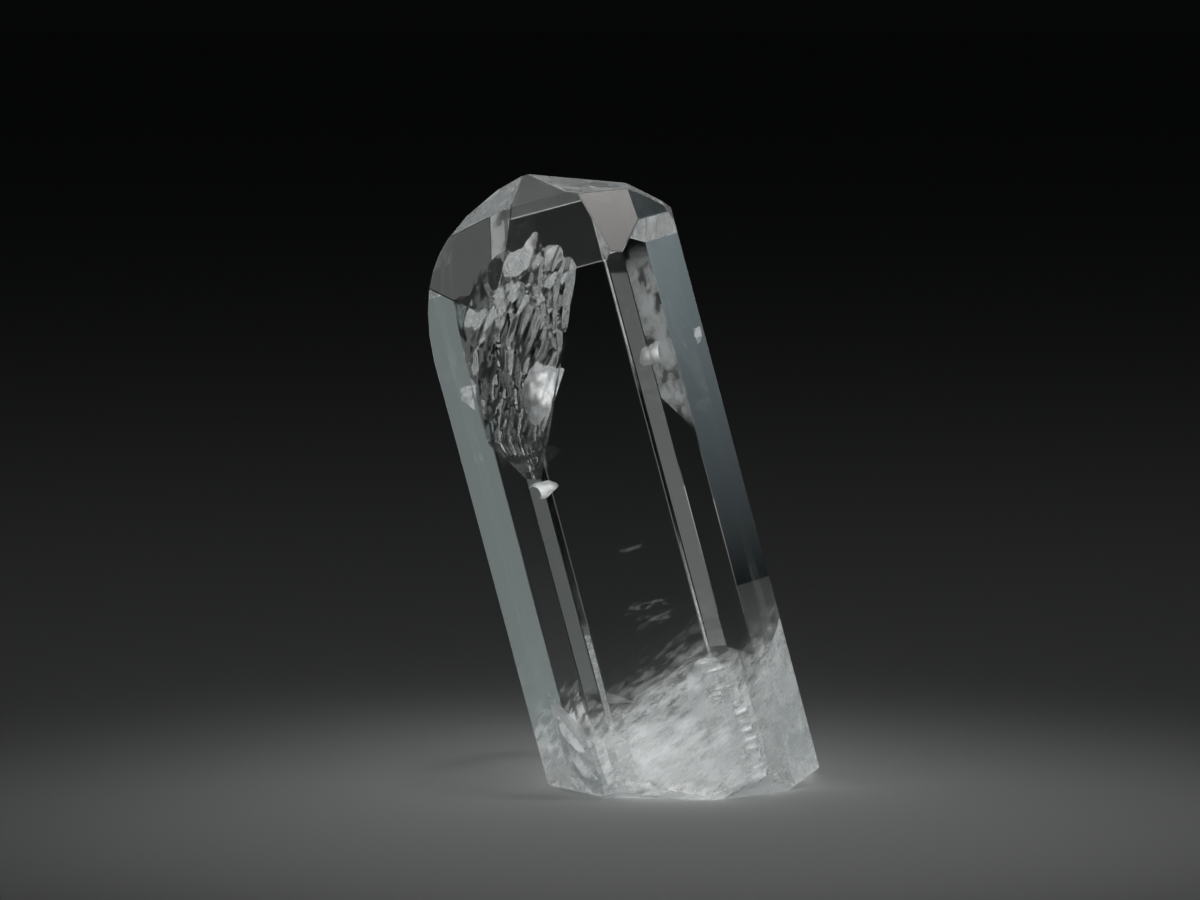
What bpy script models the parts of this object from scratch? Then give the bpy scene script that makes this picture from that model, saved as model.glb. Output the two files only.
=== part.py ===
"""A single water-clear phenakite crystal, standing on its broken lower end and leaning to the left.

The crystal is a six-sided prism under a low, many-faced dome. Each flat face is one plane, cut off a plain block
in the way a crystallographer lists them: by the direction it faces, how steeply it is inclined to the c axis's
base plane, and a point that it passes through. The front left edge is dissolved into a rough, grooved hollow, and
the lower end is a hackly break with chips around its rim.

Two frames are used. The crystal frame has its c axis along +Z and its origin where the axis meets the floor. The
part's own frame is the same one leant over by LEAN about the Y axis, with the floor at Z = 0.
"""

import math

import bmesh
import bpy
from mathutils import Matrix, Vector, noise

MM = 0.001

# The ratio of phenakite's c and a axes sets how steep every termination face is
AXIAL_RATIO = 0.661


def inclination(h, k, l):
    """The angle in degrees between the base plane and the face with these Miller indices."""
    return math.degrees(math.atan2(2 / math.sqrt(3) * AXIAL_RATIO * math.sqrt(h * h + k * k + h * k), l))


PRISM = 90.0
LOW_PYRAMID = inclination(1, 1, 3)
MID_PYRAMID = inclination(1, 1, 1)
STEEP_RHOMBOHEDRON = inclination(2, 1, 1)

# Azimuths are in degrees from +X, the crystal's right, so the front faces -90
FRONT, BACK, RIGHT, LEFT = -90.0, 90.0, 0.0, 180.0

# How far the crystal leans to its left
LEAN = math.radians(14.9)

# How far each upright face lies from the c axis
FRONT_DISTANCE = 5.22 * MM
BACK_DISTANCE = 6.90 * MM
FRONT_LEFT_DISTANCE = 4.655 * MM
FRONT_RIGHT_DISTANCE = 4.84 * MM
BACK_LEFT_DISTANCE = 5.182 * MM
BACK_RIGHT_DISTANCE = 5.152 * MM
LEFT_DISTANCE = 4.746 * MM
RIGHT_DISTANCE = 4.815 * MM

# Where the narrow faces that take off the front edges start on the front face
LEFT_EDGE_START = -2.0 * MM
RIGHT_EDGE_START = 2.18 * MM

# The low faces that meet at the dome's top, and the two on its left that dip a little more
APEX = Vector((0.23, -1.89, 22.62)) * MM
APEX_INCLINATION = LOW_PYRAMID - 1
LEFT_SLOPE_POINT = Vector((-1.91, -1.2, 21.89)) * MM
LEFT_SLOPE_INCLINATION = LOW_PYRAMID + 5

# The steep faces between the dome and the prism: azimuth, inclination, and a point on the face in millimetres
STEEP_FACES = (
    (FRONT, STEEP_RHOMBOHEDRON, (1.77, -5.22, 19.17)),
    (FRONT + 43, 61.0, (2.15, -4.65, 20.33)),
    (FRONT + 61, 68.0, (3.60, -3.65, 19.91)),
    (RIGHT + 8, 40.0, (3.74, -1.6, 21.18)),
    (RIGHT - 15, MID_PYRAMID, (4.45, -1.6, 20.45)),
    (RIGHT - 5, 73.0, (4.73, -1.6, 19.86)),
    (FRONT - 47, 58.0, (-2.60, -3.20, 20.20)),
    (BACK - 33, 48.0, (1.97, 6.9, 19.2)),
    (BACK + 66, 74.0, (-3.4, 4.5, 19.6)),
)

# The rounded left shoulder follows a superellipse in the plane of X and Z
SHOULDER_CENTRE = Vector((-0.40, 0.0, 16.25)) * MM
SHOULDER_WIDTH = 4.346 * MM
SHOULDER_HEIGHT = 5.70 * MM
SHOULDER_POWER = 2.4
SHOULDER_INCLINATIONS = (36.0, 46.0, 55.0, 63.0, 71.0, 79.0, 85.0)

# The dissolved hollow on the front left edge: its lower tip, and how its walls spread from there and close above
HOLLOW_TIP = Vector((-2.15, 0.0, 12.0)) * MM
HOLLOW_LEFT = -3.60 * MM
HOLLOW_LEFT_SLOPE = 0.78
HOLLOW_RIGHT_SLOPE = 0.46
HOLLOW_CORNER = Vector((1.15, 0.0, 19.0)) * MM
HOLLOW_CLOSING_SLOPE = 0.6
HOLLOW_TOP = 20.4 * MM
HOLLOW_MESH_ACROSS = 0.13 * MM
HOLLOW_MESH_ALONG = 0.22 * MM
HOLLOW_FADE = 0.35 * MM
HOLLOW_TOP_FADE = 1.8 * MM

# The grooves in the hollow: broad ones with fine ones over them, all leaning and wandering a little
GROOVE_DEPTH = 0.42 * MM
GROOVE_WIDTH = 0.50 * MM
GROOVE_LENGTH = 1.5 * MM
FINE_GROOVE_DEPTH = 0.16 * MM
FINE_GROOVE_WIDTH = 0.26 * MM
FINE_GROOVE_LENGTH = 0.75 * MM
GROOVE_LEAN = 0.12
GROOVE_WANDER = 0.6
GROOVE_WANDER_SIZE = 1.5 * MM
GROOVE_SHARPNESS = 2.2
BROAD_SEED, FINE_SEED = 3.1, 7.7

# The break at the foot: mesh spacing, the flat rim and middle it stands on, and how far its hackles rise
BREAK_MESH = 0.36 * MM
BREAK_REACH = 7.2 * MM
BREAK_FLAT = 0.55 * MM
BREAK_FADE = 0.9 * MM
HACKLE_RISE = 0.8 * MM
HACKLE_SIZE = 2.1 * MM
HACKLE_STRETCH = 0.55
FINE_HACKLE_SHARE = 0.45
FINE_HACKLE_RATIO = 2.7

# The chips around the foot: a point on each in millimetres, and the way it faces
CHIPS = (
    ((-4.72, -1.6, 0.10), (-0.70, -0.38, -0.60)),
    ((3.97, -1.1, 0.00), (0.58, -0.12, -0.80)),
    ((3.10, -3.4, 0.06), (0.45, -0.55, -0.70)),
    ((1.20, -5.16, 0.05), (-0.10, -0.62, -0.78)),
    ((-2.30, -4.9, 0.08), (-0.25, -0.70, -0.66)),
    ((-3.60, 4.0, 0.25), (-0.55, 0.50, -0.67)),
    ((0.60, 6.8, 0.25), (0.10, 0.70, -0.70)),
    ((3.55, 4.1, 0.30), (0.62, 0.40, -0.68)),
)

# The block that the crystal is cut from
BLOCK_SIZE = 16 * MM
BLOCK_BOTTOM = -6 * MM
BLOCK_TOP = 26 * MM

# Points this near a plane lie on it, and faces this nearly level with each other are one
CUT_TOLERANCE = 1e-7
FLAT_ANGLE = math.radians(0.2)


def direction(azimuth, incline):
    """The outward normal of a face, from its azimuth and inclination in degrees."""
    around = math.radians(azimuth)
    tilt = math.radians(incline)
    return Vector((math.sin(tilt) * math.cos(around), math.sin(tilt) * math.sin(around), math.cos(tilt)))


def smooth_step(value):
    """Rises gently from 0 to 1 as the value goes from 0 to 1, and is level outside that."""
    value = max(0.0, min(1.0, value))
    return value * value * (3 - 2 * value)


def new_block():
    """A plain block, larger than the crystal."""
    bm = bmesh.new()
    bmesh.ops.create_cube(bm, size=1.0)
    height = BLOCK_TOP - BLOCK_BOTTOM
    bmesh.ops.scale(bm, vec=(BLOCK_SIZE, BLOCK_SIZE, height), verts=bm.verts)
    bmesh.ops.translate(bm, vec=(0, 0, BLOCK_BOTTOM + height / 2), verts=bm.verts)
    return bm


def cut_face(bm, point, normal):
    """Cuts off all that lies beyond one plane and closes the cut with one flat face."""
    everything = bm.verts[:] + bm.edges[:] + bm.faces[:]
    cut = bmesh.ops.bisect_plane(
        bm, geom=everything, dist=CUT_TOLERANCE, plane_co=point, plane_no=normal, clear_outer=True
    )
    rim = [e for e in cut["geom_cut"] if isinstance(e, bmesh.types.BMEdge)]
    if len(rim) > 2:
        bmesh.ops.contextual_create(bm, geom=rim)


def cut_prism(bm):
    """The upright faces. Six make the prism, and narrow ones take off its side edges and its front edges."""
    upright_faces = (
        (FRONT, FRONT_DISTANCE),
        (BACK, BACK_DISTANCE),
        (FRONT - 60, FRONT_LEFT_DISTANCE),
        (FRONT + 60, FRONT_RIGHT_DISTANCE),
        (BACK - 60, BACK_RIGHT_DISTANCE),
        (BACK + 60, BACK_LEFT_DISTANCE),
        (LEFT, LEFT_DISTANCE),
        (RIGHT, RIGHT_DISTANCE),
    )
    for azimuth, distance in upright_faces:
        normal = direction(azimuth, PRISM)
        cut_face(bm, normal * distance, normal)
    cut_face(bm, Vector((LEFT_EDGE_START, -FRONT_DISTANCE, 0)), direction(FRONT - 30, PRISM))
    cut_face(bm, Vector((RIGHT_EDGE_START, -FRONT_DISTANCE, 0)), direction(FRONT + 30, PRISM))


def cut_dome(bm):
    """The termination: a low pyramid, then steeper faces down to the prism."""
    for azimuth in (FRONT, FRONT + 60, BACK - 60, BACK):
        cut_face(bm, APEX, direction(azimuth, APEX_INCLINATION))
    for azimuth in (LEFT - 30, LEFT + 30):
        cut_face(bm, LEFT_SLOPE_POINT, direction(azimuth, LEFT_SLOPE_INCLINATION))
    for azimuth, incline, point in STEEP_FACES:
        cut_face(bm, Vector(point) * MM, direction(azimuth, incline))


def cut_shoulder(bm):
    """The rounded left shoulder, as narrow faces that touch one superellipse."""
    dual_power = SHOULDER_POWER / (SHOULDER_POWER - 1)
    for incline in SHOULDER_INCLINATIONS:
        normal = direction(LEFT, incline)
        across = (SHOULDER_WIDTH * abs(normal.x)) ** dual_power
        upward = (SHOULDER_HEIGHT * normal.z) ** dual_power
        reach = (across + upward) ** (1 / dual_power)
        cut_face(bm, SHOULDER_CENTRE + normal * reach, normal)


def score(bm, faces, point, normal):
    """Draws a line across some faces where one plane meets them."""
    edges = {edge for face in faces for edge in face.edges}
    verts = {vert for face in faces for vert in face.verts}
    bmesh.ops.bisect_plane(
        bm, geom=[*verts, *edges, *faces], dist=CUT_TOLERANCE, plane_co=point, plane_no=normal
    )


def score_grid(bm, pick, normal, low, high, spacing):
    """Scores the faces that pick() names with evenly spaced parallel lines."""
    steps = round((high - low) / spacing)
    for step in range(steps + 1):
        score(bm, pick(), normal * (low + (high - low) * step / steps), normal)


def hollow_walls(height):
    """The X of the hollow's left and right walls at one height."""
    climb = height - HOLLOW_TIP.z
    left = max(HOLLOW_LEFT, HOLLOW_TIP.x - HOLLOW_LEFT_SLOPE * climb)
    closing = HOLLOW_CORNER.x - HOLLOW_CLOSING_SLOPE * (height - HOLLOW_CORNER.z)
    return left, min(HOLLOW_TIP.x + HOLLOW_RIGHT_SLOPE * climb, closing)


def hollow_floor(x, height):
    """The Y of the hollow's floor, which runs straight from its left wall to its right wall."""
    left, right = hollow_walls(height)
    left_face = direction(FRONT - 60, PRISM)
    left_y = (FRONT_LEFT_DISTANCE - left_face.x * left) / left_face.y
    share = (x - left) / max(right - left, HOLLOW_MESH_ACROSS)
    return left_y + share * (-FRONT_DISTANCE - left_y)


def ridged(across, along, seed):
    """Noise from 0 on a sharp ridge to 1 in a pit."""
    return min(1.0, GROOVE_SHARPNESS * abs(noise.noise(Vector((across, along, seed)))))


def groove_depth(x, height):
    """Long pointed pits with sharp ridges between them, as acid leaves on a crystal's edge."""
    bend = GROOVE_WANDER * noise.noise(Vector((x, height, 0)) / GROOVE_WANDER_SIZE)
    leant = x + GROOVE_LEAN * height
    broad = ridged(leant / GROOVE_WIDTH + bend, height / GROOVE_LENGTH, BROAD_SEED)
    fine = ridged(leant / FINE_GROOVE_WIDTH + bend, height / FINE_GROOVE_LENGTH, FINE_SEED)
    return GROOVE_DEPTH * broad + FINE_GROOVE_DEPTH * fine


def dissolve_hollow(bm):
    """Eats the front left edge back to the hollow's floor, and grooves it."""
    left = HOLLOW_LEFT - 2 * HOLLOW_MESH_ACROSS
    right = HOLLOW_CORNER.x + HOLLOW_MESH_ACROSS
    bottom = HOLLOW_TIP.z - HOLLOW_MESH_ALONG
    across = Vector((1, 0, 0))
    upward = Vector((0, 0, 1))

    def front_faces():
        return [face for face in bm.faces if face.normal.y < -0.2]

    def hollow_faces():
        centres = [(face, face.calc_center_bounds()) for face in front_faces()]
        return [f for f, c in centres if left < c.x < right and bottom < c.z < HOLLOW_TOP]

    bm.normal_update()
    for place, normal in ((left, across), (right, across), (bottom, upward), (HOLLOW_TOP, upward)):
        score(bm, front_faces(), normal * place, normal)
    score_grid(bm, hollow_faces, across, left, right, HOLLOW_MESH_ACROSS)
    score_grid(bm, hollow_faces, upward, bottom, HOLLOW_TOP, HOLLOW_MESH_ALONG)

    inside = set(hollow_faces())
    for vert in {vert for face in inside for vert in face.verts}:
        near, far = hollow_walls(vert.co.z)
        margin = min(vert.co.x - near, far - vert.co.x)
        if margin <= 0 or not all(face in inside for face in vert.link_faces):
            continue
        fade = smooth_step(margin / HOLLOW_FADE) * smooth_step((HOLLOW_TOP - vert.co.z) / HOLLOW_TOP_FADE)
        floor = max(vert.co.y, hollow_floor(vert.co.x, vert.co.z))
        vert.co.y = floor + fade * groove_depth(vert.co.x, vert.co.z)
    merge_flat(bm)


def merge_flat(bm):
    """Joins the faces that are level with each other, so that only real edges stay."""
    bm.normal_update()
    bmesh.ops.dissolve_limit(bm, angle_limit=FLAT_ANGLE, verts=bm.verts[:], edges=bm.edges[:])


def lean_over(bm):
    """Tips the crystal to the left, so that its broken end lies flat on the floor."""
    bmesh.ops.rotate(bm, cent=(0, 0, 0), matrix=Matrix.Rotation(-LEAN, 3, "Y"), verts=bm.verts)


def cut_foot(bm):
    """The break that the crystal stands on, and the chips around its rim."""
    cut_face(bm, Vector((0, 0, 0)), Vector((0, 0, -1)))
    for point, normal in CHIPS:
        cut_face(bm, Vector(point) * MM, Vector(normal).normalized())


def distance_to_edge(point, edge):
    """How far a point lies from the nearest point of an edge."""
    start, end = (vert.co for vert in edge.verts)
    along = end - start
    share = max(0.0, min(1.0, (point - start).dot(along) / along.length_squared))
    return (point - start - along * share).length


def roughen_break(bm):
    """Raises hackles in a ring between the foot's flat rim and its flat middle."""
    def break_faces():
        return [face for face in bm.faces if face.normal.z < -0.999]

    bm.normal_update()
    for across in (Vector((1, 0, 0)), Vector((0, 1, 0))):
        score_grid(bm, break_faces, across, -BREAK_REACH, BREAK_REACH, BREAK_MESH)
    inside = set(break_faces())
    rim = [e for face in inside for e in face.edges if not all(f in inside for f in e.link_faces)]
    for vert in {vert for face in inside for vert in face.verts}:
        from_rim = min(distance_to_edge(vert.co, edge) for edge in rim)
        from_middle = vert.co.to_2d().length
        fade = smooth_step((min(from_rim, from_middle) - BREAK_FLAT) / BREAK_FADE)
        place = Vector((vert.co.x, vert.co.y * HACKLE_STRETCH, 0)) / HACKLE_SIZE
        rise = abs(noise.noise(place)) + FINE_HACKLE_SHARE * abs(noise.noise(place * FINE_HACKLE_RATIO))
        vert.co.z += HACKLE_RISE * rise * fade
    merge_flat(bm)


def crystal_material():
    """Water-clear phenakite."""
    material = bpy.data.materials.new("clear_phenakite")
    material.use_nodes = True
    shader = material.node_tree.nodes["Principled BSDF"]
    shader.inputs["Base Color"].default_value = (0.95, 0.97, 0.97, 1.0)
    shader.inputs["Roughness"].default_value = 0.03
    shader.inputs["Metallic"].default_value = 0.0
    shader.inputs["IOR"].default_value = 1.654
    shader.inputs["Transmission Weight"].default_value = 1.0
    return material


def make_crystal():
    """The whole crystal, as one closed body in the part's own frame."""
    bm = new_block()
    cut_prism(bm)
    cut_dome(bm)
    cut_shoulder(bm)
    dissolve_hollow(bm)
    lean_over(bm)
    cut_foot(bm)
    roughen_break(bm)
    bmesh.ops.triangulate(bm, faces=bm.faces[:])
    bmesh.ops.recalc_face_normals(bm, faces=bm.faces[:])
    mesh = bpy.data.meshes.new("crystal")
    bm.to_mesh(mesh)
    bm.free()
    mesh.materials.append(crystal_material())
    crystal = bpy.data.objects.new("crystal", mesh)
    bpy.context.scene.collection.objects.link(crystal)
    return crystal


for old in list(bpy.data.objects):
    bpy.data.objects.remove(old)
make_crystal()
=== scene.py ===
# %% [markdown]
# # A water-clear phenakite crystal
#
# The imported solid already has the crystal's flat faces, its dissolved hollow and its broken foot, at their
# real size. This lesson gives it the looks of the real thing: clear, strongly refracting, with a dissolved
# hollow that glitters, and with veils, cracks and a milky cloud inside, near the foot.
#
# Glass and clear crystal show mostly what stands around them. So the stage comes first, and it is laid out
# by asking of each flat face which way the light that we see through it has come.

# %% Load the frame
import math

import bpy
from mathutils import Matrix, Vector, noise


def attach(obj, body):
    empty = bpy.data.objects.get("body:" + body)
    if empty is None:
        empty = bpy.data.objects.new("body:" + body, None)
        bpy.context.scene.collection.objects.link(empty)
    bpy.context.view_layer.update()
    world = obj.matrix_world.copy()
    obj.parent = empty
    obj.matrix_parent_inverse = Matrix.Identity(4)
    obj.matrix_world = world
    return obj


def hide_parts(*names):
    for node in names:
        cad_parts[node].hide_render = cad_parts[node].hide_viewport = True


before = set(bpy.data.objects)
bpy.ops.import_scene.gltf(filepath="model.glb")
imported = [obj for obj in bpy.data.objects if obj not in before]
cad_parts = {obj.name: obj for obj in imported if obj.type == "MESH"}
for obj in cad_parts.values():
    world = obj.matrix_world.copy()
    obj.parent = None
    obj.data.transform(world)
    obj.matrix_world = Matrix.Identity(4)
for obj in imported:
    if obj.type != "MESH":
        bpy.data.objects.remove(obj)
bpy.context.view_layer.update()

MM = 0.001

# %% [markdown]
# ## Two frames
#
# The crystal leans 14.9 degrees to the left. It is easier to think of it upright, with its long axis along
# Z. So every place below is given in that upright frame, in millimetres, and `placed` leans it over.

# %% From the upright crystal to the leaning one
LEAN = math.radians(14.9)
LEAN_OVER = Matrix.Rotation(-LEAN, 4, "Y")
UPRIGHT = LEAN_OVER.inverted()
TOP = (0.2, -1.9, 22.6)


def placed(x, y, height):
    """A place in the upright crystal, in millimetres, as a point of the leaning one, in metres."""
    return LEAN_OVER @ (Vector((x, y, height)) * MM)


print("the crystal's top is near", [round(value / MM, 1) for value in placed(*TOP)])

# %% [markdown]
# ## The camera
#
# The photograph was taken a little from above, and from far off with a long lens: the crystal's parallel
# edges stay parallel in it. A 200 mm lens does that here. A picture column is 0.036 mm wide at the crystal.

# %% Camera
PICTURE_COLUMNS, COLUMN_WIDTH = 1200, 0.036
PICTURE_WIDTH = PICTURE_COLUMNS * COLUMN_WIDTH * MM
LENS, SENSOR = 200.0, 36.0
ELEVATION = math.radians(5.0)
PICTURE_CENTRE = Vector((-3.046, 0.0, 0.0)) * MM
PICTURE_RISE = 11.894 * MM
NEAREST, FARTHEST = 0.01, 5.0

camera_data = bpy.data.cameras.new("camera")
camera_data.lens = LENS
camera_data.sensor_width = SENSOR
camera = bpy.data.objects.new("camera", camera_data)
bpy.context.scene.collection.objects.link(camera)
sight = Vector((0.0, math.cos(ELEVATION), -math.sin(ELEVATION)))
rise = Vector((0.0, math.sin(ELEVATION), math.cos(ELEVATION)))
distance = PICTURE_WIDTH / SENSOR * LENS
camera.location = PICTURE_CENTRE + rise * PICTURE_RISE - sight * distance
camera.rotation_mode = "QUATERNION"
camera.rotation_quaternion = sight.to_track_quat("-Z", "Y")
camera_data.clip_start, camera_data.clip_end = NEAREST, FARTHEST
bpy.context.scene.camera = camera
print("camera is", round(distance / MM), "mm away")

# %% [markdown]
# ## The stage
#
# A clear crystal shows best against dark. The floor is pale, but only a soft pool of light falls on it, with
# a faint spill around it, so it fades into a dark room. Two soft panels stand behind on the right, a soft
# box hangs overhead, and another stands in front. Only the crystal shows them, and they don't light the
# floor.
#
# The front box is mirrored in faces and cracks, but isn't seen straight through the crystal, because from
# behind it would outshine everything else there.

# %% Floor
FLOOR_RADIUS = 1100 * MM
FLOOR_DROP = 0.02 * MM


def plain_material(name, colour, roughness):
    """A dull, even surface."""
    material = bpy.data.materials.new(name)
    material.use_nodes = True
    shader = material.node_tree.nodes["Principled BSDF"]
    shader.inputs["Base Color"].default_value = (*colour, 1.0)
    shader.inputs["Roughness"].default_value = roughness
    shader.inputs["Specular IOR Level"].default_value = 0.0
    return material


bpy.ops.object.select_all(action="DESELECT")
bpy.ops.mesh.primitive_circle_add(
    vertices=96, radius=FLOOR_RADIUS, fill_type="NGON", location=(0, 0, -FLOOR_DROP))
floor = bpy.context.object
floor.name = "floor"
floor.data.materials.append(plain_material("pale_floor", (0.76, 0.78, 0.77), 0.9))
print("floor is", round(2 * FLOOR_RADIUS / MM), "mm across")

# %% World
ROOM_COLOUR = (0.9, 1.0, 0.98, 1.0)
ROOM_TONE = 0.0021
world = bpy.data.worlds.new("dark_room")
world.use_nodes = True
bpy.context.scene.world = world
world.node_tree.nodes["Background"].inputs["Color"].default_value = ROOM_COLOUR
world.node_tree.nodes["Background"].inputs["Strength"].default_value = ROOM_TONE
print("the room's tone is", ROOM_TONE)

# %% A lamp, and what sees it
AIM = placed(0, 0, 8)


def lamp(name, kind, place_mm, power, size_mm):
    """A lamp that points at the crystal."""
    data = bpy.data.lights.new(name, kind)
    data.energy = power
    holder = bpy.data.objects.new(name, data)
    bpy.context.scene.collection.objects.link(holder)
    holder.location = Vector(place_mm) * MM
    holder.rotation_mode = "QUATERNION"
    holder.rotation_quaternion = (AIM - holder.location).to_track_quat("-Z", "Y")
    if kind == "AREA":
        data.shape = "RECTANGLE"
        data.size, data.size_y = size_mm[0] * MM, size_mm[1] * MM
    else:
        data.shadow_soft_size = size_mm[0] * MM
    return holder


def lights_dull_things_only(holder):
    """Clear and glossy things don't show the lamp itself, which is small and would sparkle."""
    holder.visible_glossy = False
    holder.visible_transmission = False


def seen_in_crystal_only(holder):
    """The lamp lights clear and glossy things, and neither the camera nor the dull floor sees it."""
    holder.visible_camera = False
    holder.visible_diffuse = False


# %% The pool of light on the floor
POOL_RADIUS, POOL_HEIGHT = 34.0, 220.0
pool = lamp("pool", "SPOT", (0, -12, POOL_HEIGHT), power=0.20, size_mm=(14,))
pool.rotation_quaternion = Vector((0, 0, -1)).to_track_quat("-Z", "Y")
pool.data.spot_size = 2 * math.atan(POOL_RADIUS / POOL_HEIGHT)
pool.data.spot_blend = 1.0
spill = lamp("spill", "POINT", (0, 0, 150), power=0.024, size_mm=(40,))
for small_lamp in (pool, spill):
    lights_dull_things_only(small_lamp)
print("the pool of light is", 2 * POOL_RADIUS, "mm across")

# %% Soft panels
PANEL_DISTANCE = 300.0
WHITE = (1.0, 1.0, 1.0)


def panel(name, azimuth, elevation, size_mm, radiance, colour, away=PANEL_DISTANCE):
    """A soft box that shines evenly. From the crystal, azimuth 0 is straight back and 90 is to the right."""
    around, up = math.radians(azimuth), math.radians(elevation)
    way = Vector((math.sin(around) * math.cos(up), math.cos(around) * math.cos(up), math.sin(up)))
    area = size_mm[0] * size_mm[1] * MM * MM
    holder = lamp(name, "AREA", AIM / MM + way * away, radiance * math.pi * area, size_mm)
    holder.data.color = colour
    seen_in_crystal_only(holder)
    return holder


panel("right_back_panel", 48, 13, size_mm=(84, 180), radiance=0.20, colour=(0.86, 1.0, 1.0))
panel("narrow_back_panel", 20, 9, size_mm=(26, 60), radiance=0.10, colour=(0.92, 1.0, 0.96), away=120)
panel("overhead_box", 0, 88, size_mm=(460, 460), radiance=0.75, colour=WHITE)
front_box = panel("front_box", 180, 24, size_mm=(360, 150), radiance=2.6, colour=WHITE)
front_box.visible_transmission = False

# %% [markdown]
# ## Cards that glow
#
# Some long faces bend light so far that they show the floor behind the crystal, and not the room. Cards lie
# just over it there, and most of them glow more at one end than at the other, as those faces do on the real
# crystal. The camera and the floor don't see the cards: only light that has come through the crystal does.

# %% Glowing cards behind the crystal
CARD_HEIGHT = 0.3 * MM


def glow_material(name, colour, near, far):
    """Glows from one strength at the card's near end to another at its far end."""
    material = bpy.data.materials.new(name)
    material.use_nodes = True
    nodes, links = material.node_tree.nodes, material.node_tree.links
    shader = nodes["Principled BSDF"]
    shader.inputs["Base Color"].default_value = (0.0, 0.0, 0.0, 1.0)
    shader.inputs["Specular IOR Level"].default_value = 0.0
    shader.inputs["Emission Color"].default_value = (*colour, 1.0)
    place = nodes.new("ShaderNodeTexCoord")
    sides = nodes.new("ShaderNodeSeparateXYZ")
    fade = nodes.new("ShaderNodeMapRange")
    for label, value in (("From Min", -0.5), ("From Max", 0.5), ("To Min", near), ("To Max", far)):
        fade.inputs[label].default_value = value
    links.new(place.outputs["Object"], sides.inputs["Vector"])
    links.new(sides.outputs["Y"], fade.inputs["Value"])
    links.new(fade.outputs["Result"], shader.inputs["Emission Strength"])
    return material


def low_card(name, azimuth, near_mm, far_mm, width_mm, glow, colour, layer=1):
    """A card just over the floor behind the crystal. One that crosses another lies a layer higher."""
    around = math.radians(azimuth)
    middle = (near_mm + far_mm) / 2 * MM
    bpy.ops.object.select_all(action="DESELECT")
    bpy.ops.mesh.primitive_plane_add(size=1)
    card = bpy.context.object
    card.name = name
    card.location = (math.sin(around) * middle, math.cos(around) * middle, layer * CARD_HEIGHT)
    card.rotation_euler = (0, 0, -around)
    card.scale = (width_mm * MM, (far_mm - near_mm) * MM, 1)
    card.data.materials.append(glow_material(name + "_glow", colour, *glow))
    seen_in_crystal_only(card)
    card.visible_glossy = False
    card.visible_shadow = False
    return card


cards = [
    low_card("left_card", azimuth=-20, near_mm=24, far_mm=120, width_mm=14,
             glow=(0.13, 0.105), colour=(0.95, 1.0, 0.96)),
    low_card("near_card", azimuth=-29, near_mm=28, far_mm=44, width_mm=8,
             glow=(0.12, 0.42), colour=(1.0, 0.95, 0.92), layer=2),
    low_card("far_left_card", azimuth=-53, near_mm=22, far_mm=82, width_mm=34,
             glow=(0.01, 0.23), colour=(0.83, 1.0, 1.06)),
    low_card("right_card", azimuth=42, near_mm=38, far_mm=60, width_mm=24,
             glow=(0.09, 0.09), colour=(0.97, 1.0, 0.97)),
]
print("cards:", [card.name for card in cards])

# %% How the picture is taken
BOUNCES = 24
scene = bpy.context.scene
scene.view_settings.view_transform = "Standard"
scene.cycles.use_denoising = True
scene.cycles.max_bounces = BOUNCES
scene.cycles.transmission_bounces = BOUNCES
scene.cycles.glossy_bounces = BOUNCES // 2
scene.cycles.transparent_max_bounces = 2 * BOUNCES
print("light turns up to", BOUNCES, "times on its way")

# %% [markdown]
# ## The flat faces
#
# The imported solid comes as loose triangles. A copy is merged, and triangles in one plane are joined, so
# that each natural face is one polygon again. A natural face is flat, and the whole crystal lies behind
# it. That is how the grown faces and the foot's chips are told from the hollow and the break's rough middle.

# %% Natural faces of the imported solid
FLAT_ANGLE = math.radians(0.2)
TOLERANCE = 0.002 * MM
SMALLEST_FACE = 0.02 * MM * MM
SAME_WAY = 0.9999
MERGE_DISTANCE = 1e-7


def select_only(piece):
    """Makes one object the selected and the active one."""
    bpy.ops.object.select_all(action="DESELECT")
    bpy.context.view_layer.objects.active = piece
    piece.select_set(True)


def natural_faces(mesh):
    """A point and the outward normal of each flat face that all of the crystal lies behind."""
    places = [vertex.co.copy() for vertex in mesh.vertices]
    found = []
    for polygon in sorted(mesh.polygons, key=lambda each: -each.area):
        point, normal = polygon.center.copy(), polygon.normal.copy()
        if polygon.area < SMALLEST_FACE or any(normal.dot(other) > SAME_WAY for _, other in found):
            continue
        if max((place - point).dot(normal) for place in places) < TOLERANCE:
            found.append((point, normal))
    return found


plain_copy = bpy.data.objects.new("plain_copy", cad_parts["crystal"].data.copy())
bpy.context.scene.collection.objects.link(plain_copy)
select_only(plain_copy)
bpy.ops.object.mode_set(mode="EDIT")
bpy.ops.mesh.select_all(action="SELECT")
bpy.ops.mesh.remove_doubles(threshold=MERGE_DISTANCE)
bpy.ops.mesh.dissolve_limited(angle_limit=FLAT_ANGLE)
bpy.ops.object.mode_set(mode="OBJECT")
NATURAL_FACES = natural_faces(plain_copy.data)
bpy.data.objects.remove(plain_copy)
print("natural faces:", len(NATURAL_FACES))

# %% [markdown]
# ## Three kinds of surface
#
# Grown faces are smooth and bright. The hollow was eaten by a natural acid, so it is a field of long pits,
# and finely frosted. The foot is a fresh break, full of small hackles. None of them is equally bright all
# over, so a node group that the three materials share makes their gloss patchy.
#
# The crystal is cut whole from a block first, along its natural faces. Its edges get a hair's breadth of
# bevel, because no real edge is perfectly sharp. Then the hollow and the break are taken out of it with
# finely shaped cutters.

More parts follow.
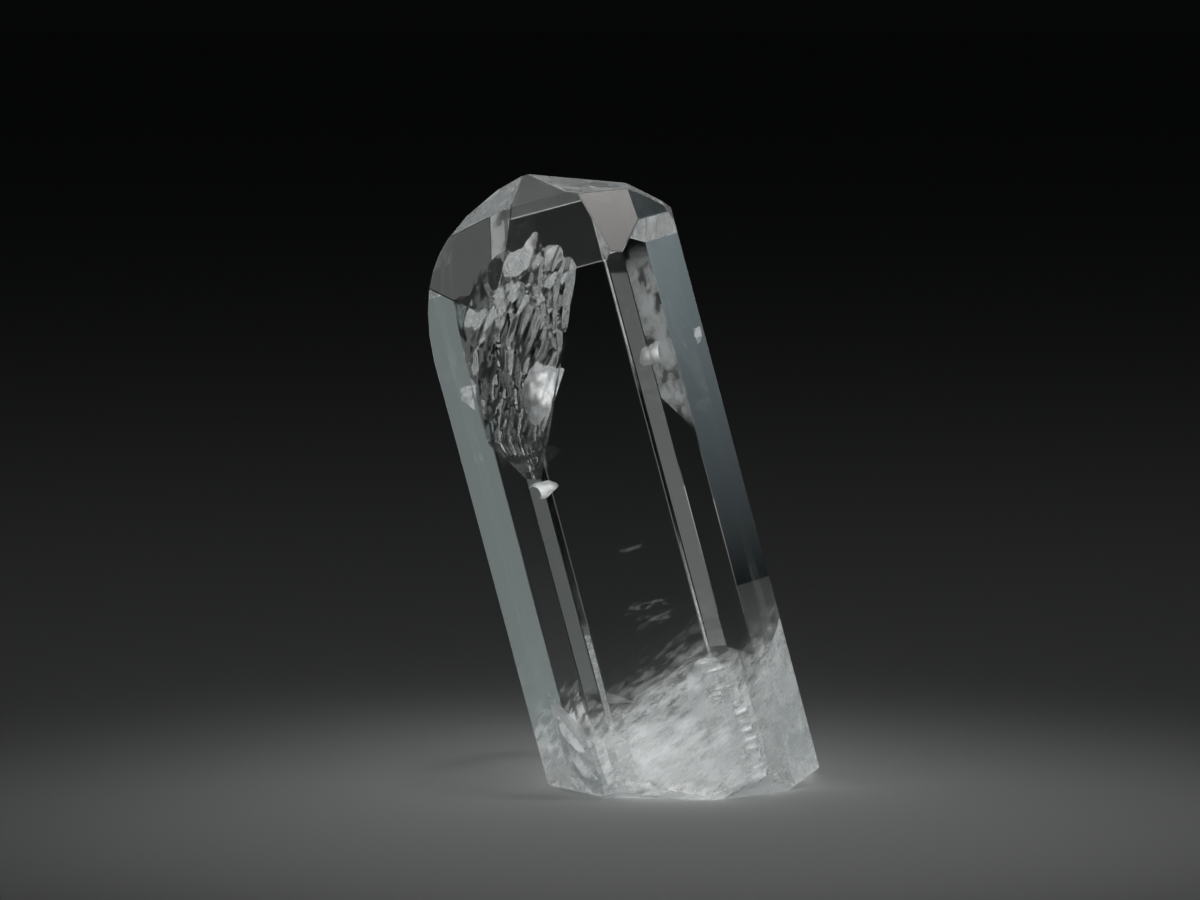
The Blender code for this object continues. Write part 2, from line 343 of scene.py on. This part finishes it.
# %% A gloss that is uneven, as on any natural face
def uneven_gloss_group():
    """A node group that gives a roughness from Low to High in soft patches."""
    group = bpy.data.node_groups.new("Uneven gloss", "ShaderNodeTree")
    for name in ("Scale", "Low", "High"):
        group.interface.new_socket(name=name, in_out="INPUT", socket_type="NodeSocketFloat")
    group.interface.new_socket(name="Roughness", in_out="OUTPUT", socket_type="NodeSocketFloat")
    nodes, links = group.nodes, group.links
    inputs, outputs = nodes.new("NodeGroupInput"), nodes.new("NodeGroupOutput")
    place = nodes.new("ShaderNodeTexCoord")
    grain = nodes.new("ShaderNodeTexNoise")
    grain.inputs["Detail"].default_value = 5.0
    links.new(place.outputs["Object"], grain.inputs["Vector"])
    links.new(inputs.outputs["Scale"], grain.inputs["Scale"])
    patches = nodes.new("ShaderNodeMapRange")
    patches.interpolation_type = "SMOOTHSTEP"
    patches.inputs["From Min"].default_value = 0.35
    patches.inputs["From Max"].default_value = 0.70
    links.new(grain.outputs["Fac"], patches.inputs["Value"])
    links.new(inputs.outputs["Low"], patches.inputs["To Min"])
    links.new(inputs.outputs["High"], patches.inputs["To Max"])
    links.new(patches.outputs["Result"], outputs.inputs["Roughness"])
    return group


UNEVEN_GLOSS = uneven_gloss_group()

# %% Clear materials
GROWN, ETCHED, BROKEN = 0, 1, 2
KINDS = (
    ("grown_faces", (700, 0.0, 0.05)),
    ("etched_hollow", (2500, 0.14, 0.30)),
    ("broken_foot", (2000, 0.24, 0.46)),
)
CLEAR_COLOUR = (0.98, 0.99, 0.99, 1.0)
IOR = 1.654
SHADOW_COLOUR = (0.85, 0.85, 0.85, 1.0)


def clear_material(name, gloss_values):
    """Phenakite has no colour of its own and bends light strongly. Most of a lamp's light passes it."""
    material = bpy.data.materials.new(name)
    material.use_nodes = True
    nodes, links = material.node_tree.nodes, material.node_tree.links
    shader = nodes["Principled BSDF"]
    shader.inputs["Base Color"].default_value = CLEAR_COLOUR
    gloss = nodes.new("ShaderNodeGroup")
    gloss.node_tree = UNEVEN_GLOSS
    for label, value in zip(("Scale", "Low", "High"), gloss_values):
        gloss.inputs[label].default_value = value
    links.new(gloss.outputs["Roughness"], shader.inputs["Roughness"])
    shader.inputs["IOR"].default_value = IOR
    shader.inputs["Transmission Weight"].default_value = 1.0
    path = nodes.new("ShaderNodeLightPath")
    clear = nodes.new("ShaderNodeBsdfTransparent")
    clear.inputs["Color"].default_value = SHADOW_COLOUR
    mix = nodes.new("ShaderNodeMixShader")
    links.new(path.outputs["Is Shadow Ray"], mix.inputs[0])
    links.new(shader.outputs["BSDF"], mix.inputs[1])
    links.new(clear.outputs["BSDF"], mix.inputs[2])
    links.new(mix.outputs["Shader"], nodes["Material Output"].inputs["Surface"])
    return material


CLEAR_MATERIALS = [clear_material(name, gloss_values) for name, gloss_values in KINDS]
print("clear materials:", [material.name for material in CLEAR_MATERIALS])

# %% The whole crystal, before anything ate or broke it
BLOCK = 60 * MM
EDGE, EDGE_ANGLE = 0.025 * MM, math.radians(4)
FACES_DOWN = -0.5


def cut_along(piece, planes, fill):
    """Cuts off what lies beyond each plane, and closes the cut if asked."""
    select_only(piece)
    bpy.ops.object.mode_set(mode="EDIT")
    for point, normal in planes:
        bpy.ops.mesh.select_all(action="SELECT")
        bpy.ops.mesh.bisect(
            plane_co=point, plane_no=normal, use_fill=fill, clear_outer=True, threshold=MERGE_DISTANCE)
    bpy.ops.object.mode_set(mode="OBJECT")


bpy.ops.object.select_all(action="DESELECT")
bpy.ops.mesh.primitive_cube_add(size=BLOCK)
crystal = bpy.context.object
crystal.name = "phenakite"
cut_along(crystal, NATURAL_FACES, fill=True)
for material in CLEAR_MATERIALS:
    crystal.data.materials.append(material)
for polygon in crystal.data.polygons:
    if polygon.normal.z < FACES_DOWN:
        polygon.material_index = BROKEN
bevel = crystal.modifiers.new("edges", "BEVEL")
bevel.width = EDGE
bevel.segments = 1
bevel.limit_method = "ANGLE"
bevel.angle_limit = EDGE_ANGLE
bevel.material = GROWN
bpy.ops.object.modifier_apply(modifier=bevel.name)
print("the whole crystal has", len(crystal.data.polygons), "faces with its bevels")

# %% [markdown]
# ## The dissolved hollow
#
# The hollow's cutter starts as a fine grid that stands in front of the crystal. Each of its points is moved
# to the hollow's floor, a straight chord between the hollow's two walls. A map is laid over it whose columns
# spread out from the lower tip and whose rows grow longer upwards. A Voronoi texture on that map, pushed in
# with a Displace modifier, gives scooped pits with sharp ridges between them that fan out from the tip, as
# acid leaves them.

# %% Where the front of the whole crystal lies
FACES_FRONT = -0.01
UPRIGHT_FACES = []
for point, normal in NATURAL_FACES:
    turned = UPRIGHT.to_3x3() @ normal
    UPRIGHT_FACES.append((turned, turned.dot(UPRIGHT @ point) / MM))
FRONT_FACES = [(normal, offset) for normal, offset in UPRIGHT_FACES if normal.y < FACES_FRONT]


def front_y(x, height):
    """The Y of the whole crystal's front at one place of the upright crystal, in millimetres."""
    return max((normal.x * x + normal.z * height - offset) / -normal.y for normal, offset in FRONT_FACES)


print("front face's Y is", round(front_y(0, 8), 2), "mm")

# %% The hollow's walls, whose slopes are millimetres across for each one upwards
TIP_X, TIP_HEIGHT = -2.15, 11.95
WALL_LEFT, LEFT_SLOPE, RIGHT_SLOPE = -3.6, 0.78, 0.46
SHOULDER_START, SHOULDER_SLOPE = 19.6, 2.2
TONGUE_LEFT, TONGUE_START, TONGUE_SLOPE = -1.25, 20.3, 0.25
CORNER_X, CORNER_HEIGHT, CLOSING_SLOPE = 1.3, 19.0, 0.34


def walls(height):
    """The X of the hollow's left and right walls. A tongue of the hollow runs up over the dome's edge."""
    climb = height - TIP_HEIGHT
    shoulder = WALL_LEFT + SHOULDER_SLOPE * (height - SHOULDER_START)
    tongue = TONGUE_LEFT + TONGUE_SLOPE * (height - TONGUE_START)
    left = max(WALL_LEFT, TIP_X - LEFT_SLOPE * climb, min(shoulder, tongue))
    return left, min(TIP_X + RIGHT_SLOPE * climb, CORNER_X - CLOSING_SLOPE * (height - CORNER_HEIGHT))


print("the walls at 17 mm are at", [round(wall, 2) for wall in walls(17)])

# %% The hollow's floor
LID_HEIGHT, LID_FADE, LID_DEPTH = 21.2, 3.6, 0.04
TONGUE_MARGIN, TONGUE_BLEND = 0.5, 0.6
NARROWEST, OUTER_SLOPE, CLEARANCE = 0.02, 0.4, 0.05
MIDDLE = (-2.0, 17)


def smooth_step(value):
    """Rises gently from 0 to 1 as the value goes from 0 to 1, and is level outside that."""
    value = max(0.0, min(1.0, value))
    return value * value * (3 - 2 * value)


def shallowness(x, height):
    """The hollow runs out gently towards its upper end, which is lower on the left of its tongue."""
    lid = SHOULDER_START + (x - WALL_LEFT) / SHOULDER_SLOPE
    over_tongue = smooth_step((x - TONGUE_LEFT + TONGUE_MARGIN) / TONGUE_BLEND)
    lid += (LID_HEIGHT - lid) * over_tongue
    return smooth_step(LID_DEPTH + (lid - height) / LID_FADE)


def floor_y(x, height):
    """The Y of the hollow's floor. Outside the hollow it lies in front of the crystal."""
    left, right = walls(height)
    front = front_y(x, height)
    if right - left < NARROWEST:
        return front - OUTER_SLOPE * (left - right) - OUTER_SLOPE * abs(x - TIP_X)
    left_y, right_y = front_y(left, height), front_y(right, height)
    chord = left_y + (right_y - left_y) * (x - left) / (right - left)
    depth = chord - front
    if depth <= 0:
        return front + depth - CLEARANCE
    share = shallowness(x, height)
    return front + depth * share - CLEARANCE * (1 - share)


print("the hollow is", round(floor_y(*MIDDLE) - front_y(*MIDDLE), 2), "mm deep at its middle")

# %% A grid over the hollow
ACROSS, ALONG = (-4.0, 1.7), (11.4, 21.9)
GRID_STEP = 0.05


def fine_grid(name, columns, rows):
    """A plain grid that other cells shape."""
    bpy.ops.object.select_all(action="DESELECT")
    bpy.ops.mesh.primitive_grid_add(x_subdivisions=columns, y_subdivisions=rows, size=1)
    grid = bpy.context.object
    grid.name = name
    return grid


columns = round((ACROSS[1] - ACROSS[0]) / GRID_STEP)
rows = round((ALONG[1] - ALONG[0]) / GRID_STEP)
hollow_cutter = fine_grid("hollow_cutter", columns, rows)
for vertex in hollow_cutter.data.vertices:
    x = ACROSS[0] + (vertex.co.x + 0.5) * (ACROSS[1] - ACROSS[0])
    height = ALONG[0] + (vertex.co.y + 0.5) * (ALONG[1] - ALONG[0])
    vertex.co = Vector((x, floor_y(x, height), height)) * MM
select_only(hollow_cutter)
bpy.ops.object.mode_set(mode="EDIT")
bpy.ops.mesh.select_all(action="SELECT")
bpy.ops.mesh.vertices_smooth(factor=0.5, repeat=12)
bpy.ops.object.mode_set(mode="OBJECT")
print("the hollow's grid has", len(hollow_cutter.data.polygons), "faces")

# %% A map that fans out from the hollow's tip
COLUMNS, ROW_AT_TIP, ROW_GROWTH, SHEAR = 10.0, 0.55, 0.075, 0.35
WANDER, WANDER_SIZE = 0.7, 1.4
MAP_MARGIN = 0.15


def fan_map(x, height):
    """The pits' column and row at one place of the upright crystal, in millimetres. Both wander a little."""
    climb = max(0.0, height - TIP_HEIGHT)
    left = max(WALL_LEFT, TIP_X - LEFT_SLOPE * climb) - MAP_MARGIN
    right = TIP_X + RIGHT_SLOPE * climb + MAP_MARGIN
    row = math.log(1 + climb * ROW_GROWTH / ROW_AT_TIP) / ROW_GROWTH
    wander = WANDER * noise.noise(Vector((x, height, 0)) / WANDER_SIZE)
    return COLUMNS * (x - left) / (right - left) - SHEAR * row + wander, row + wander


def lay_map(piece):
    """Lays the fan over a piece. Displace reads a map from -1 to 1 as 0 to 1, so the map is halved."""
    layer = piece.data.uv_layers.active
    layer.name = "fan"
    for loop in piece.data.loops:
        place = piece.data.vertices[loop.vertex_index].co / MM
        layer.data[loop.index].uv = [value / 2 for value in fan_map(place.x, place.z)]


lay_map(hollow_cutter)
print("laid out", int(COLUMNS), "columns of pits")

# %% Weights and displacement
def weigh(piece, name, weight_at):
    """A vertex group whose weight is worked out from each point's place, in millimetres."""
    group = piece.vertex_groups.new(name=name)
    for vertex in piece.data.vertices:
        group.add([vertex.index], weight_at(vertex.co / MM), "REPLACE")


def displace(piece, group, texture, strength, coordinates, direction, middle=0.0):
    """Pushes the points of a group by a texture, and applies it."""
    modifier = piece.modifiers.new(texture.name, "DISPLACE")
    modifier.vertex_group = group
    modifier.texture = texture
    modifier.texture_coords = coordinates
    modifier.uv_layer = "fan" if coordinates == "UV" else ""
    modifier.direction = direction
    modifier.mid_level = middle
    modifier.strength = strength * MM
    select_only(piece)
    bpy.ops.object.modifier_apply(modifier=modifier.name)


# %% Push in the pits
WEIGHT_AT_WALL, WALL_FADE = 0.15, 0.5
WEIGHT_AT_TIP, TIP_FADE = 0.45, 5
DOME_MARGIN = 0.8


def pit_texture(name, scale):
    """Round-bottomed cells with sharp ridges between them."""
    texture = bpy.data.textures.new(name, "VORONOI")
    texture.distance_metric = "DISTANCE_SQUARED"
    texture.noise_scale = scale
    texture.noise_intensity = 1.5
    return texture


def pit_weight(place):
    """Pits are fine at the tip and along the walls, deep over the middle, and shallow under the dome."""
    left, right = walls(place.z)
    inside = smooth_step(WEIGHT_AT_WALL + min(place.x - left, right - place.x) / WALL_FADE)
    upwards = smooth_step(WEIGHT_AT_TIP + (place.z - TIP_HEIGHT) / TIP_FADE)
    return inside * upwards * shallowness(place.x, place.z - DOME_MARGIN)


weigh(hollow_cutter, "pits", pit_weight)
swell = bpy.data.textures.new("swell", "CLOUDS")
swell.noise_scale = 1.3 * MM
swell.noise_depth = 1
displace(hollow_cutter, "pits", swell, 0.28, "LOCAL", "Y", middle=0.5)
displace(hollow_cutter, "pits", pit_texture("pits", 1.0), -0.24, "UV", "Y", middle=0.45)
displace(hollow_cutter, "pits", pit_texture("fine_pits", 0.45), -0.035, "UV", "Y", middle=0.45)
print("pits are pushed in")

# %% Take the hollow out of the crystal
HOLLOW_REACH = 8.0


def close_cutter(piece, reach, kind):
    """Turns a shaped sheet into a closed block by drawing it out, and gives it one kind of surface."""
    select_only(piece)
    bpy.ops.object.mode_set(mode="EDIT")
    bpy.ops.mesh.select_all(action="SELECT")
    bpy.ops.mesh.extrude_region_move(TRANSFORM_OT_translate={"value": reach * MM})
    bpy.ops.mesh.select_all(action="SELECT")
    bpy.ops.mesh.normals_make_consistent(inside=False)
    bpy.ops.object.mode_set(mode="OBJECT")
    for material in CLEAR_MATERIALS:
        piece.data.materials.append(material)
    for polygon in piece.data.polygons:
        polygon.material_index = kind


def take_out(piece, cutter):
    """Takes the cutter's body out of a piece. The new faces keep the cutter's material."""
    modifier = piece.modifiers.new(cutter.name, "BOOLEAN")
    modifier.operation = "DIFFERENCE"
    modifier.solver = "EXACT"
    modifier.object = cutter
    select_only(piece)
    bpy.ops.object.modifier_apply(modifier=modifier.name)
    bpy.data.objects.remove(cutter)


close_cutter(hollow_cutter, Vector((0, -HOLLOW_REACH, 0)), ETCHED)
hollow_cutter.data.transform(LEAN_OVER)
take_out(crystal, hollow_cutter)
print("faces with the hollow:", len(crystal.data.polygons))

# %% [markdown]
# ## The break
#
# The crystal stands on the rim and the middle of its break. Between them the break's hackles rise a little.
# A bump in the material could imitate them, but the mesh itself would stay flat.

# %% The break's cutter
BREAK_REACH, BREAK_STEP, BREAK_DEPTH = 14.4, 0.1, 2.0
BREAK_FLAT, BREAK_FADE = 0.5, 0.9
SINK = 0.01
FOOT_DOWN = -0.9
RIM_FACES = [(normal, point.dot(normal) / MM) for point, normal in NATURAL_FACES if normal.z > FOOT_DOWN]


def hackle_weight(place):
    """Hackles fade out towards the break's rim and towards its middle."""
    from_rim = min((offset - normal.x * place.x - normal.y * place.y) / normal.to_2d().length
                   for normal, offset in RIM_FACES)
    return smooth_step((min(from_rim, place.to_2d().length) - BREAK_FLAT) / BREAK_FADE)


break_cells = round(BREAK_REACH / BREAK_STEP)
break_cutter = fine_grid("break_cutter", break_cells, break_cells)
break_cutter.data.transform(Matrix.Translation((0, 0, -SINK * MM)) @ Matrix.Scale(BREAK_REACH * MM, 4))
weigh(break_cutter, "hackles", hackle_weight)
hackles = bpy.data.textures.new("hackles", "CLOUDS")
hackles.noise_scale = 1.5 * MM
hackles.noise_depth = 3
displace(break_cutter, "hackles", hackles, 0.9, "LOCAL", "Z")
close_cutter(break_cutter, Vector((0, 0, -BREAK_DEPTH)), BROKEN)
take_out(crystal, break_cutter)
print("faces with the break:", len(crystal.data.polygons))

# %% Shading
select_only(crystal)
bpy.ops.object.shade_smooth_by_angle(angle=math.radians(50))
for polygon in crystal.data.polygons:
    if polygon.material_index == GROWN:
        polygon.use_smooth = False
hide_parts("crystal")
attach(crystal, "root")
kinds = [polygon.material_index for polygon in crystal.data.polygons]
print("grown, etched and broken faces:", [kinds.count(kind) for kind in (GROWN, ETCHED, BROKEN)])

# %% [markdown]
# ## Inside the crystal
#
# Near the foot the crystal is full of healed and open cracks, which scatter light and look like a milky
# cloud. A volume that scatters light could make it, but would look like fog, without the streaks. So each
# crack is a thin wavy sheet. An open crack holds air, and air inside a crystal is a mirror, so the sheets
# are a dull white metal where the crack is open, and clear elsewhere. A sheet is cut off a little inside
# the crystal's own faces, so that none of them shows outside.

# %% Streaks that several cracks share
STREAK_TILT = math.radians(24)


def streak_group():
    """A node group that gives streaks: high where a stretched noise is high."""
    group = bpy.data.node_groups.new("Crack streaks", "ShaderNodeTree")
    for name in ("Scale", "Stretch", "Low", "High"):
        group.interface.new_socket(name=name, in_out="INPUT", socket_type="NodeSocketFloat")
    group.interface.new_socket(name="Streaks", in_out="OUTPUT", socket_type="NodeSocketFloat")
    nodes, links = group.nodes, group.links
    inputs, outputs = nodes.new("NodeGroupInput"), nodes.new("NodeGroupOutput")
    place = nodes.new("ShaderNodeTexCoord")
    turn = nodes.new("ShaderNodeMapping")
    turn.inputs["Rotation"].default_value = (0.0, LEAN + STREAK_TILT, 0.0)
    links.new(place.outputs["Object"], turn.inputs["Vector"])
    combine = nodes.new("ShaderNodeCombineXYZ")
    combine.inputs["X"].default_value = 1.0
    combine.inputs["Y"].default_value = 1.0
    links.new(inputs.outputs["Stretch"], combine.inputs["Z"])
    stretch = nodes.new("ShaderNodeVectorMath")
    stretch.operation = "MULTIPLY"
    links.new(turn.outputs["Vector"], stretch.inputs[0])
    links.new(combine.outputs["Vector"], stretch.inputs[1])
    grain = nodes.new("ShaderNodeTexNoise")
    grain.inputs["Detail"].default_value = 6.0
    grain.inputs["Roughness"].default_value = 0.62
    links.new(stretch.outputs["Vector"], grain.inputs["Vector"])
    links.new(inputs.outputs["Scale"], grain.inputs["Scale"])
    window = nodes.new("ShaderNodeMapRange")
    window.interpolation_type = "SMOOTHSTEP"
    links.new(grain.outputs["Fac"], window.inputs["Value"])
    links.new(inputs.outputs["Low"], window.inputs["From Min"])
    links.new(inputs.outputs["High"], window.inputs["From Max"])
    links.new(window.outputs["Result"], outputs.inputs["Streaks"])
    return group


STREAKS = streak_group()

# %% Crack material
CRACK_WHITE = (0.93, 0.95, 0.95, 1.0)
RAGGEDNESS = 0.3


def crack_material(name, streak_values, densest, softness, roughness):
    """White and streaky, and clear towards the sheet's own border, which its UV map tells."""
    material = bpy.data.materials.new(name)
    material.use_nodes = True
    nodes, links = material.node_tree.nodes, material.node_tree.links
    shader = nodes["Principled BSDF"]
    shader.inputs["Base Color"].default_value = CRACK_WHITE
    shader.inputs["Metallic"].default_value = 1.0
    shader.inputs["Roughness"].default_value = roughness

    def maths(operation, first, second=None, third=None):
        node = nodes.new("ShaderNodeMath")
        node.operation = operation
        for socket, value in zip(node.inputs, (first, second, third)):
            if isinstance(value, bpy.types.NodeSocket):
                links.new(value, socket)
            elif value is not None:
                socket.default_value = value
        return node.outputs["Value"]

    group = nodes.new("ShaderNodeGroup")
    group.node_tree = STREAKS
    for label, value in zip(("Scale", "Stretch", "Low", "High"), streak_values):
        group.inputs[label].default_value = value
    streaks = group.outputs["Streaks"]
    place = nodes.new("ShaderNodeTexCoord")
    sides = nodes.new("ShaderNodeSeparateXYZ")
    links.new(place.outputs["UV"], sides.inputs["Vector"])
    across, along = (
        maths("SUBTRACT", 1.0, maths("ABSOLUTE", maths("MULTIPLY_ADD", sides.outputs[side], 2.0, -1.0)))
        for side in ("X", "Y")
    )
    border = nodes.new("ShaderNodeMapRange")
    border.interpolation_type = "SMOOTHSTEP"
    border.inputs["From Max"].default_value = softness
    border.inputs["To Max"].default_value = densest
    ragged = maths("MULTIPLY_ADD", streaks, RAGGEDNESS, -RAGGEDNESS)
    links.new(maths("ADD", maths("MINIMUM", across, along), ragged), border.inputs["Value"])
    links.new(maths("MULTIPLY", streaks, border.outputs["Result"]), shader.inputs["Alpha"])
    return material


# %% Five kinds of crack
milky = crack_material(
    "milky_cloud", (1100, 3.2, 0.26, 0.64), densest=0.72, softness=0.60, roughness=0.70)
veil = crack_material(
    "veil", (1000, 1.2, 0.22, 0.62), densest=0.60, softness=0.40, roughness=0.85)
bright_crack = crack_material(
    "bright_crack", (1300, 1.5, 0.27, 0.58), densest=0.95, softness=0.20, roughness=0.85)
open_shell = crack_material(
    "open_shell", (2500, 1.5, 0.10, 0.45), densest=1.0, softness=0.02, roughness=0.60)
faint_wisp = crack_material(
    "faint_wisp", (2200, 2.0, 0.40, 0.70), densest=0.2, softness=0.6, roughness=0.5)
print("materials:", [material.name for material in bpy.data.materials])

# %% A crack sheet
GAP = 0.08 * MM
INNER_FACES = [(point - normal * GAP, normal) for point, normal in NATURAL_FACES]
ripples = bpy.data.textures.new("ripples", "CLOUDS")
ripples.noise_scale = 1.6 * MM
ripples.noise_depth = 2


def upright_plane(point, normal):
    """A plane given in the upright crystal, in millimetres, as one of the leaning crystal."""
    return placed(*point), LEAN_OVER.to_3x3() @ Vector(normal)


def crack(name, centre, size, turn, waves, material, ends=(), steps=60):
    """A wavy sheet around a centre in the upright crystal, turned by three angles and cut off inside it."""
    sheet = fine_grid(name, steps, steps)
    turned = Matrix.Diagonal((size[0] * MM, size[1] * MM, 1.0, 1.0))
    for axis, angle in zip("XYZ", turn):
        turned = Matrix.Rotation(math.radians(angle), 4, axis) @ turned
    sheet.data.transform(LEAN_OVER @ Matrix.Translation(Vector(centre) * MM) @ turned)
    weigh(sheet, "all", lambda place: 1.0)
    displace(sheet, "all", ripples, waves, "LOCAL", "NORMAL", middle=0.5)
    cut_along(sheet, [*INNER_FACES, *(upright_plane(*end) for end in ends)], fill=False)
    sheet.data.shade_smooth()
    sheet.data.materials.append(material)
    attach(sheet, "root")
    return sheet


def crack_under(name, azimuth, inset, height, size, roll, waves, material, ends=()):
    """A crack a little under the upright face with this azimuth, which is -90 in front and 0 on the right."""
    around = math.radians(azimuth)
    outward = Vector((math.cos(around), math.sin(around), 0))
    offset = max(UPRIGHT_FACES, key=lambda face: face[0].dot(outward))[1]
    centre = outward * (offset - inset) + Vector((0, 0, height))
    return crack(name, centre, size, (90, roll, azimuth + 90), waves, material, ends)


# %% [markdown]
# ## The cloud and its brighter cracks
#
# Most sheets lie just under one face. They are given by that face's azimuth, how far under it they lie,
# their height, their size, their roll and the height of their waves. Low on the left a few small ones are
# tipped up instead, so that they mirror the light above: they are a white fracture and the scales over it.

# %% The cloud
LEFT_ENDS = [((-3.58, 0.0, 4.65), (0.852, 0.0, 0.523)), ((-3.60, 0.0, 0.0), (-1.0, 0.0, 0.0))]
RIGHT_ENDS = [((3.70, 0.0, 3.63), (-0.843, 0.0, 0.538)), ((3.60, 0.0, 0.0), (-1.0, 0.0, 0.0))]
VEIL_ENDS = [((-2.5, 5.8, 12.9), (-0.88, 0.0, -0.47))]
cloud = [
    crack_under("cloud_front", -90, 0.5, 0.9, (9.0, 8.8), -23, 0.5, milky),
    crack_under("cloud_front_left", -120, 0.35, 0.8, (9, 5.6), 0, 0.3, milky),
    crack_under("cloud_left", -150, 0.4, 0.9, (12, 5.4), 6, 0.3, milky),
    crack_under("cloud_front_right", -60, 0.4, 1.2, (10, 8.6), -14, 0.4, milky),
    crack_under("cloud_right", -30, 0.4, 1.6, (12, 7.0), 0, 0.3, milky),
    crack_under("cloud_back", 90, 1.6, 0.8, (14, 7.0), 12, 0.8, milky),
    crack("cloud_middle", (0.6, -1.0, 0.6), (12, 8.4), (76, -18, 6), 0.9, milky),
    crack_under("crack_left", -150, 0.45, 1.6, (7.0, 8.0), 0, 0.35, bright_crack, LEFT_ENDS),
    crack("left_scale_high", (-3.2, -3.0, 3.1), (1.3, 1.8), (62, 0, -30), 0.3, bright_crack),
    crack("left_scale_low", (-3.0, -3.3, 2.1), (1.7, 1.8), (62, 0, -30), 0.3, bright_crack),
    crack("white_fracture", (-3.0, -3.4, 0.9), (2.6, 1.7), (58, 0, -30), 0.4, bright_crack),
    crack("white_fracture_low", (-2.3, -4.2, 0.3), (2.2, 1.5), (56, 0, -20), 0.4, bright_crack),
    crack_under("crack_right", -30, 0.40, 1.6, (7.0, 9.0), 0, 0.35, bright_crack, RIGHT_ENDS),
    crack_under("veil_back_left", 150, 0.12, 15.4, (14, 7.4), 0, 0.2, veil, VEIL_ENDS),
]
print("cloud sheets:", [len(sheet.data.polygons) for sheet in cloud])

# %% [markdown]
# ## Small cracks
#
# A shell-like crack lies behind the hollow's right rim. Its upper edge turns up and mirrors the light above,
# and so does a chip at the hollow's lower tip. They are caps of a ball, cut off with planes and scaled.
# Other small things are a round spot and a run of steps on the right, a glint under each side, and a few
# faint wisps in the middle.

# %% Shell-like cracks
SHELL_WAVES = 0.5
fine_ripples = bpy.data.textures.new("fine_ripples", "CLOUDS")
fine_ripples.noise_scale = 0.35 * MM
fine_ripples.noise_depth = 2


def shell(name, centre, radii, keep_above, material, more_ends=(), segments=48):
    """The front cap of an ellipsoid, in the upright crystal. It is cut off below, behind and where asked."""
    bpy.ops.object.select_all(action="DESELECT")
    bpy.ops.mesh.primitive_uv_sphere_add(segments=segments, ring_count=segments // 2, radius=1)
    cap = bpy.context.object
    cap.name = name
    scale = Matrix.Diagonal((*[radius * MM for radius in radii], 1.0))
    cap.data.transform(LEAN_OVER @ Matrix.Translation(Vector(centre) * MM) @ scale)
    below = (centre[0], centre[1], centre[2] + keep_above)
    ends = [upright_plane(centre, (0, 1, 0)), upright_plane(below, (0, 0, -1))]
    ends += [upright_plane(*end) for end in more_ends]
    weigh(cap, "all", lambda place: 1.0)
    displace(cap, "all", fine_ripples, SHELL_WAVES * min(radii), "LOCAL", "NORMAL", middle=0.5)
    cut_along(cap, [*INNER_FACES, *ends], fill=False)
    cap.data.shade_smooth()
    cap.data.materials.append(material)
    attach(cap, "root")
    return cap


SHELL_ENDS = [((-0.1, -4.3, 16.0), (0.834, 0.0, -0.551))]
CHIP_ENDS = [((-2.2, -4.8, 11.62), (-0.55, 0.0, -0.83)), ((-2.0, -4.8, 11.6), (0.5, 0.0, -0.87))]
shells = [
    shell("shell_crack", (-1.0, -4.3, 15.0), (0.95, 0.6, 1.15), -1.0, open_shell, SHELL_ENDS),
    shell("tip_chip", (-2.06, -4.8, 11.8), (0.62, 0.25, 0.42), -0.2, open_shell, CHIP_ENDS),
    shell("spot_right", (2.85, -3.85, 15.4), (0.75, 0.45, 0.45), -0.25, open_shell, segments=24),
]
print("shells:", [cap.name for cap in shells])

# %% A ladder of steps
STEP_COUNT, FIRST_HEIGHT, STEP_RISE = 14, 0.1, 0.34
FIRST_X, LAST_X, FIRST_Y, FORWARD = 2.9, 1.9, -4.1, 0.4
HALF_WIDTH, NARROWING, HALF_DEPTH = 0.70, 0.30, 0.40
HALF_HEIGHT, FLATTENING = 0.24, 0.08
X_JITTER, WIDTH_JITTER, HEIGHT_JITTER, JITTER_STRIDE = 0.7, 0.5, 0.15, 1.7
KEEP_ABOVE = -0.08


def ladder_step(index):
    """One cap of the ladder. Higher ones are smaller and further forward, and none is quite regular."""
    climb = index / (STEP_COUNT - 1)
    jitter = noise.noise(Vector((index * JITTER_STRIDE, 0.0, 0.0)))
    x = FIRST_X + climb * (LAST_X - FIRST_X) + X_JITTER * jitter
    place = (x, FIRST_Y - FORWARD * climb, FIRST_HEIGHT + index * STEP_RISE)
    half_width = HALF_WIDTH - NARROWING * climb + WIDTH_JITTER * jitter
    half_height = HALF_HEIGHT - FLATTENING * climb + HEIGHT_JITTER * jitter
    radii = (half_width, HALF_DEPTH, half_height)
    return shell(f"step_{index + 1}", place, radii, KEEP_ABOVE, open_shell, segments=20)


step_caps = [ladder_step(index) for index in range(STEP_COUNT)]
select_only(step_caps[0])
for cap in step_caps[1:]:
    cap.select_set(True)
bpy.ops.object.join()
step_caps[0].name = "steps"
print("steps:", STEP_COUNT, "caps,", len(step_caps[0].data.polygons), "faces")

# %% Glints and wisps
small_cracks = [
    crack("glint_left", (-3.75, -2.3, 15.5), (0.9, 1.1), (60, 0, -45), 0.2, bright_crack, steps=16),
    crack("glint_far_right", (4.5, -1.5, 15.5), (0.6, 0.8), (60, 0, 40), 0.2, bright_crack, steps=16),
    crack("wisp_low", (0.6, -3.2, 6.4), (1.9, 2.2), (12, -4, 0), 0.25, faint_wisp),
    crack("wisp_middle", (0.4, -2.8, 6.9), (2.2, 1.8), (10, 3, 0), 0.25, faint_wisp),
    crack("wisp_high", (0.4, -2.0, 8.9), (1.4, 1.6), (9, -3, 0), 0.2, faint_wisp),
]
print("small cracks:", [sheet.name for sheet in small_cracks])
